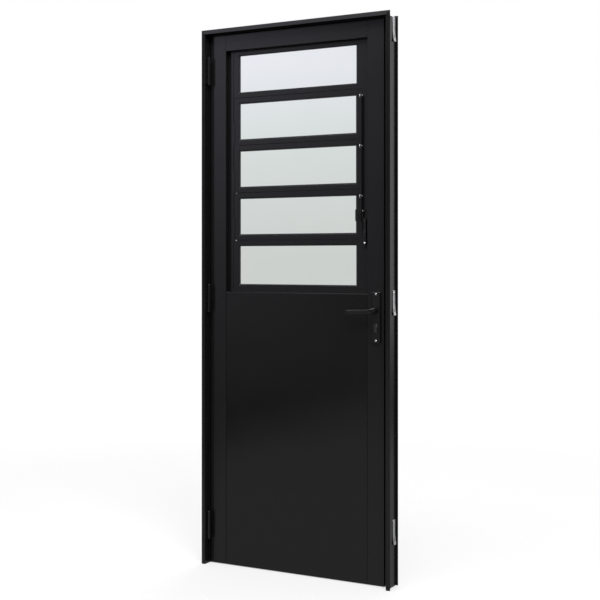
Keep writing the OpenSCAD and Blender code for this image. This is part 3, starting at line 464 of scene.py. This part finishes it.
# Hinges: extruded plates and knuckles in the coat of the frame.
# Each turns on a pin with a rounded cap at both ends.
dress(black_coat, "upper_frame_hinge", "middle_frame_hinge", "lower_frame_hinge",
      "upper_leaf_hinge", "middle_leaf_hinge", "lower_leaf_hinge")
pin_r, cap_h = 0.0035, 0.002
pins = bmesh.new()
for low, high in solids("hinge_pins"):
    middle = (low + high) / 2
    radius, tall = (high.x - low.x) / 2, high.z - low.z
    cap = [(radius - 0.002, 0), (radius - 0.0007, 0.0004), (radius, 0.0012), (radius, cap_h), (pin_r, cap_h)]
    profile = [(0, 0)] + cap + [(r, tall - z) for r, z in reversed(cap)] + [(0, tall)]
    turn(pins, profile, Vector((middle.x, middle.y, low.z)), Vector((0, 0, 1)))
piece(pins, "capped_hinge_pins", black_coat, "frame", ["hinge_pins"])


# Leaf: box stiles and rails in the same coat, closed below the window by flat sheets.
# The sheets are coated smoother and are not quite flat, so what they mirror wavers.
def sheet_coat(name, tint, rough):
    material, wire = start(name)
    cloud = noise(wire, 4.0, 3.0)
    film = noise(wire, 60.0, 3.0, (1, 1, 4))
    rounded = wire.node("ShaderNodeBevel", {"samples": 4}, {"Radius": 0.0014})
    waver = wire.node("ShaderNodeBump", {}, {
        "Strength": 0.5, "Distance": 0.004, "Height": noise(wire, 2.2, 1.0, (1, 1, 1.6)), "Normal": rounded})
    skin = wire.node("ShaderNodeBump", {}, {
        "Strength": 0.05, "Distance": 0.0002, "Height": noise(wire, 500.0), "Normal": waver})
    close(wire, {"Base Color": cloud.mix(tone(tint, 0.9), tone(tint, 1.1)),
                 "Roughness": rough + (cloud - 0.5) * 0.06 + (film - 0.5) * 0.04, "Normal": skin})
    return material


dress(black_coat, "hinge_stile", "lock_stile", "top_rail", "mid_rail", "bottom_rail")
sheet_black = sheet_coat("sheet_powder_coat", (0.0040, 0.0040, 0.0041), 0.16)
dress(sheet_black, "front_panel", "back_panel")


# Window: liners, light frames and snap-in glazing beads in the coat, round panes of float glass.
# A rubber wedge closes the edge of each pane on both faces.
# At the lock side a rubber fin on the liner closes the gap beside the lower half of each sash.
def pane_glass(name):
    material, wire = start(name)
    smear = noise(wire, 9.0, 4.0)
    close(wire, {"Base Color": smear.mix((0.91, 0.93, 0.92, 1), (0.94, 0.955, 0.95, 1)), "Roughness": smear * 0.03,
                 "Transmission Weight": 1.0, "IOR": 1.5})
    return material


def corners_of(node):
    """Lowest and highest corner of a CAD node."""
    return [Vector(corner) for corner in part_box(node)]


def wedge_ring(shape, low, high, profile):
    """A mitred ring inside a pane's light: profile pairs a reach over the pane with a depth Y."""
    turns = ((low.x, low.z, 1, 1), (high.x, low.z, -1, 1), (high.x, high.z, -1, -1), (low.x, high.z, 1, -1))
    ends = [[shape.verts.new((x + sx * reach, y, z + sz * reach)) for reach, y in profile] for x, z, sx, sz in turns]
    for k in range(4):
        for j in range(len(profile)):
            i = (j + 1) % len(profile)
            shape.faces.new((ends[k][j], ends[k][i], ends[(k + 1) % 4][i], ends[(k + 1) % 4][j]))


def fin_seal(shape, edge, face, back, bottom, top):
    """A rubber fin from a foot on the liner's face to the edge of a sash."""
    fin = [(face, 0.0012), (face - 0.0004, 0.0012), (face - 0.0007, 0.0003), (edge, 0.0002)]
    outline = fin + [(x, -y) for x, y in reversed(fin)]
    loft(shape, [[shape.verts.new((x, back + y, z)) for x, y in outline] for z in (bottom, top)])


dress(black_coat, "left_liner", "right_liner", "top_liner", "sill_liner", "top_light_frame", "top_light_bead",
      "bottom_light_frame", "bottom_light_bead", "upper_sash", "upper_sash_bead", "middle_sash", "middle_sash_bead",
      "lower_sash", "lower_sash_bead")
glass = pane_glass("float_glass")
glass_bite = Vector((0.006, 0, 0.006))
wedge_top = 0.0006
for light, body, lap in (("top_light", "leaf", 0.0016), ("upper_sash", "upper_vent", 0.0034),
                         ("middle_sash", "middle_vent", 0.0034), ("lower_sash", "lower_vent", 0.0034),
                         ("bottom_light", "leaf", 0.0022)):
    dress(glass, light + "_glass")
    low, high = corners_of(light + "_glass")
    wedges = bmesh.new()
    for y, rise, rim in ((low.y, -0.0012, -0.0002), (high.y, 0.0018, 0.0004)):
        wedge_ring(wedges, low + glass_bite, high - glass_bite,
                   [(0, y), (0, y + rise), (wedge_top, y + rise), (lap, y + rim), (lap, y)])
    piece(wedges, light + "_wedges", seal_rubber, body)

flap_lap, flap_stop, sash_gap = 0.004, 0.005, 0.0015
fin_play, fin_inset, fin_drop = 0.00006, 0.0032, 0.0925
liner_low, liner_high = corners_of("right_liner")
sash_edge = liner_low.x + flap_lap
fins = bmesh.new()
for light in ("upper_sash", "middle_sash", "lower_sash"):
    low, high = corners_of(light + "_glass")
    middle = (low + high) / 2
    fin_seal(fins, sash_edge + fin_play, sash_edge + sash_gap, liner_high.y - fin_inset,
             middle.z - fin_drop, middle.z + flap_stop)
piece(fins, "lock_side_fin_seals", seal_rubber, "leaf")


# Vent linkage: a flat coated rod joins the three sashes and ends at the lever on its bracket.
# Zinc rivets make the joints, with a cup washer against each ear.
# Three rivets hold the bracket on the liner; the upper two are coated black with it and only the lowest is bare zinc.
def two_headed(length, shank_r, play=0.0):
    """Profile of a pin of that length with a low dome at both ends, and a little play under each."""
    span = length - 2 * rivet_head_h
    head = [(r, h + play) for r, h in dome(rivet_head_r, rivet_head_h - play)]
    half = [(0, rivet_head_h)] + head + [(shank_r, play)]
    return half + [(r, -span - h) for r, h in reversed(half)]


dress(black_coat, "vent_rod", "vent_lever", "lever_bracket")
joint_r, joint_play = 0.00245, 0.00008
joints = bmesh.new()
ears = sorted(solids("rod_rivets"), key=lambda box: -box[1].z)
for low, high in ears:
    middle = (low + high) / 2
    turn(joints, two_headed(high.x - low.x, joint_r, joint_play),
         Vector((high.x - rivet_head_h, middle.y, middle.z)), Vector((1, 0, 0)))
piece(joints, "domed_rod_rivets", zinc, "rod", ["rod_rivets"])
cup_profile = [(0.0046, 0), (0.0046, -0.0012), (0.0056, -0.0024), (0.0066, -0.0024), (0.0072, -0.0018), (0.0072, 0)]
for (low, high), body in zip(ears, ("upper_vent", "middle_vent", "lower_vent")):
    middle = (low + high) / 2
    cup = bmesh.new()
    turn(cup, cup_profile, Vector((low.x + rivet_head_h, middle.y, middle.z)), Vector((1, 0, 0)), ring=True)
    piece(cup, body + "_cup_washer", zinc, body)
fixings, last = bmesh.new(), bmesh.new()
lowest = min(low.z for low, high in solids("bracket_rivets"))
for low, high in solids("bracket_rivets"):
    middle = (low + high) / 2
    blind_rivet(last if low.z == lowest else fixings, Vector((middle.x, low.y + rivet_head_h, middle.z)),
                Vector((0, -1, 0)), high.y - low.y - rivet_head_h)
piece(fixings, "coated_bracket_rivets", black_coat, "leaf", ["bracket_rivets"])
piece(last, "plain_bracket_rivet", zinc, "leaf")


# Lock: a zinc plated case in the stile behind a nickel forend, with latch, bolt, hub and spindle.
# The forend and the bolts show at the edge of the open leaf, the rest only when it is taken apart.
dress(zinc, "lock_case", "lock_hub")
dress(satin_steel, "lock_forend", "spindle", "latch_bolt", "dead_bolt")


# Handles: narrow die-cast plates in a glossier black, clamped through the leaf by two domed screws.
# Each lever is cast in one piece on the spindle: a round neck bends into a flat grip that drops to its tip.
def cast_lever(shape, foot, looks, length, reach):
    """A lever from its foot in the plate, swept along its neck, bend and grip."""
    neck, bend, tip, tip_round = 0.010, 0.018, 0.005, 0.004
    grip_thick, thin_out, grip_tall, widen = 0.0059, 0.0009, 0.0078, 0.0010
    roll_back, roll_length = 0.005, 0.020
    drop, step_length, step_share = 0.0095, 0.020, 0.45
    squareness, grip_steps, ring_steps = 3.5, 16, 32
    path = [(0.0, 0.0, 0.0), (0.0, (reach - bend) / 2, 0.0)]
    path += [(bend * (1 - math.cos(a)), reach - bend + bend * math.sin(a), a) for a in quarter(10)]
    path += [(bend + (length - tip - bend) * k / grip_steps, reach, math.pi / 2) for k in range(1, grip_steps + 1)]
    tip_angles = [math.radians(degrees) for degrees in range(15, 90, 12)]
    path += [(length - tip + tip * math.sin(a), reach, math.pi / 2) for a in tip_angles]
    rings = []
    for along, out, heading in path:
        flat = math.sin(heading)
        share = along / length
        past = max(0.0, along - length + tip) / tip
        close_in = math.sqrt(1 - past * past)
        thick = (neck + flat * (grip_thick - thin_out * share - neck)) * close_in
        tall = neck + flat * (grip_tall + widen * share - neck) - tip_round * (1 - close_in)
        rolled = max(0.0, along - length + roll_length) / roll_length
        ease = min(1.0, along / step_length)
        fall = drop * (step_share * ease * ease * (3 - 2 * ease) + (1 - step_share) * share)
        power = 2 / (2 + squareness * flat)
        ring = []
        for k in range(ring_steps):
            c, s = math.cos(math.tau * k / ring_steps), math.sin(math.tau * k / ring_steps)
            side = thick * math.copysign(abs(c) ** power, c)
            rise = tall * math.copysign(abs(s) ** power, s)
            ring.append(shape.verts.new((foot.x - along + math.cos(heading) * side,
                                         foot.y + looks * (out + flat * side - roll_back * rolled * rolled),
                                         foot.z + rise - fall)))
        rings.append(ring)
    loft(shape, rings)


handle_black = powder_coat("handle_black", (0.0065, 0.0065, 0.0068), 0.22, 0.02, 0.0012)
dress(handle_black, "inside_plate", "outside_plate")
lever_half = 0.006
spindle_middle = sum(corners_of("spindle"), Vector()) / 2
for node, looks in (("inside_lever", -1), ("outside_lever", 1)):
    low, high = corners_of(node)
    lever = bmesh.new()
    cast_lever(lever, Vector((spindle_middle.x, high.y if looks < 0 else low.y, spindle_middle.z)), looks,
               spindle_middle.x - low.x, high.y - low.y - lever_half)
    piece(lever, "cast_" + node, handle_black, "handle", [node])
clamp_r, recess_arm, recess_sink, recess_depth, recess_taper = 0.002, 0.0021, 0.0014, 0.0013, 0.6
clamps, recesses = bmesh.new(), bmesh.new()
for low, high in solids("plate_screws"):
    middle = (low + high) / 2
    face = Vector((middle.x, low.y + rivet_head_h, middle.z))
    looks = Vector((0, -1, 0))
    turn(clamps, two_headed(high.y - low.y, clamp_r), face, looks)
    prism(recesses, cross(recess_arm), face + looks * recess_sink, looks, recess_depth, recess_taper)
piece(clamps, "cross_plate_screws", zinc, "leaf", ["plate_screws"], recesses)


# Key cylinder: a black nickel body in the lock case, with a turning plug.
# A keyway is cut in both ends of the plug.
dark_nickel = plated("black_nickel", (0.15, 0.148, 0.15), 0.28, (1, 0.05, 1), 900.0)
dress(dark_nickel, "lock_cylinder")
plug_r, rim_r, face_r, chamfer, dish, keyway_depth = 0.006, 0.0056, 0.0052, 0.0004, 0.0002, 0.009
plug, keyway = bmesh.new(), bmesh.new()
low, high = corners_of("cylinder_plug")
middle = (low + high) / 2
tall = high.y - low.y
end = [(0, dish), (face_r, dish), (rim_r, 0), (plug_r, chamfer)]
turn(plug, end + [(r, tall - z) for r, z in reversed(end)], Vector((middle.x, low.y, middle.z)), Vector((0, 1, 0)), 48)
slit = [(-0.0011, 0.0042), (-0.0011, 0.0014), (-0.0019, 0.0006), (-0.0019, -0.0008),
        (-0.0009, -0.0016), (-0.0009, -0.0044), (0.0009, -0.0044), (0.0009, -0.0024),
        (0.0017, -0.0016), (0.0017, -0.0002), (0.0009, 0.0008), (0.0011, 0.0042)]
for y, looks in ((low.y, -1), (high.y, 1)):
    prism(keyway, slit, Vector((middle.x, y, middle.z)), Vector((0, looks, 0)), keyway_depth)
piece(plug, "slotted_plug", dark_nickel, "plug", ["cylinder_plug"], keyway)

scene.view_settings.view_transform = "Standard"
